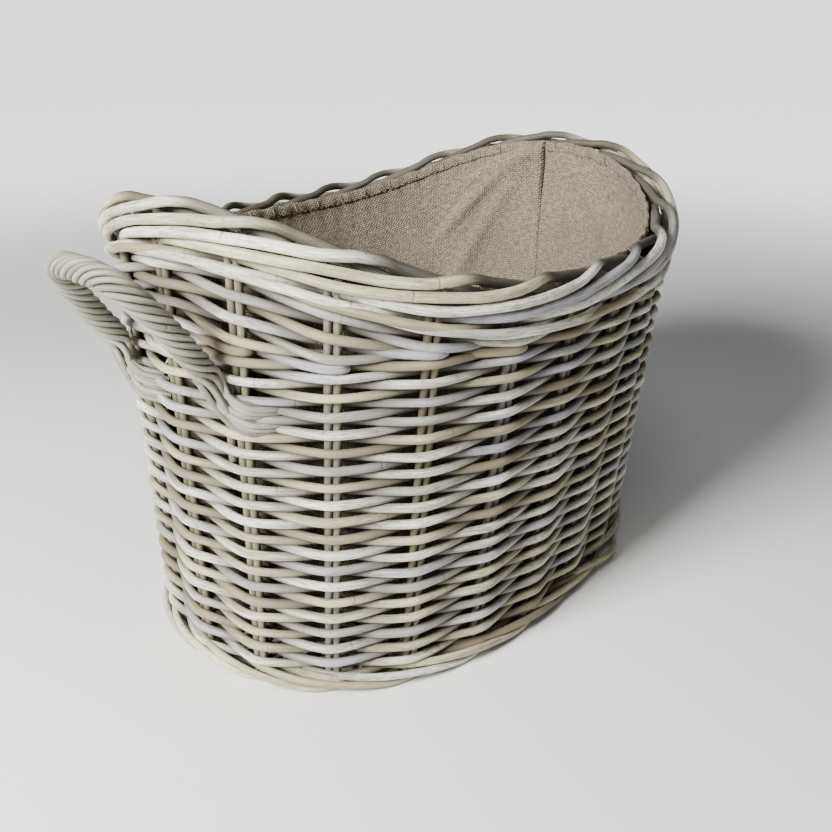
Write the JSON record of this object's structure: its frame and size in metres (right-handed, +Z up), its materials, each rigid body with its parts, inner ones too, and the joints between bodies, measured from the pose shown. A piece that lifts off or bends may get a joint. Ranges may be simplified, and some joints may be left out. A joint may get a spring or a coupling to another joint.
{
  "type": "wicker log basket",
  "caption": "Oval woven rattan log basket with a dipped saddle rim, a twisted rope handle at each end and a sewn cloth liner.",
  "frame": {"origin": "middle of the underside, on the floor plane", "axes": "+X along the length, from handle to handle; +Y across the width; +Z up"},
  "size_m": [0.7618, 0.4884, 0.4345],
  "materials": {
    "rattan_grey": "grey-washed rattan rod, satin",
    "rattan_pale": "pale grey-washed rattan rod, satin",
    "rattan_blue_grey": "lavender-grey washed rattan rod, satin",
    "rattan_brown": "brown rattan rod with little wash",
    "hessian": "coarse plain-woven hessian"
  },
  "bodies": {
    "root": {"base_stick_1": "rattan_brown", "base_stick_2": "rattan_brown", "base_stick_3": "rattan_brown", "base_stick_4": "rattan_brown", "base_stick_5": "rattan_brown", "base_stick_6": "rattan_brown", "base_stick_7": "rattan_brown", "base_stick_8": "rattan_brown", "base_stick_9": "rattan_brown", "base_weave": "rattan_grey", "end_packing_left": "rattan_blue_grey", "end_packing_right": "rattan_blue_grey", "foot_border": "rattan_pale", "foot_wale": "rattan_grey", "handle_left_bow": "rattan_brown", "handle_left_wrap": "rattan_grey", "handle_right_bow": "rattan_brown", "handle_right_wrap": "rattan_grey", "liner_back_panel": "hessian", "liner_base_panel": "hessian", "liner_front_panel": "hessian", "liner_hem": "hessian", "rim_border": "rattan_pale", "rim_wale": "rattan_blue_grey", "siding_weave_lower": "rattan_grey", "siding_weave_upper": "rattan_pale", "stake_pair_01": "rattan_grey", "stake_pair_02": "rattan_pale", "stake_pair_03": "rattan_blue_grey", "stake_pair_04": "rattan_grey", "stake_pair_05": "rattan_pale", "stake_pair_06": "rattan_blue_grey", "stake_pair_07": "rattan_grey", "stake_pair_08": "rattan_pale", "stake_pair_09": "rattan_blue_grey", "stake_pair_10": "rattan_grey", "stake_pair_11": "rattan_pale", "stake_pair_12": "rattan_blue_grey", "stake_pair_13": "rattan_grey", "stake_pair_14": "rattan_pale", "stake_pair_15": "rattan_blue_grey", "stake_pair_16": "rattan_grey", "stake_pair_17": "rattan_pale", "stake_pair_18": "rattan_blue_grey", "stake_pair_19": "rattan_grey", "stake_pair_20": "rattan_pale", "stake_pair_21": "rattan_blue_grey", "stake_pair_22": "rattan_grey"}
  },
  "joints": []
}
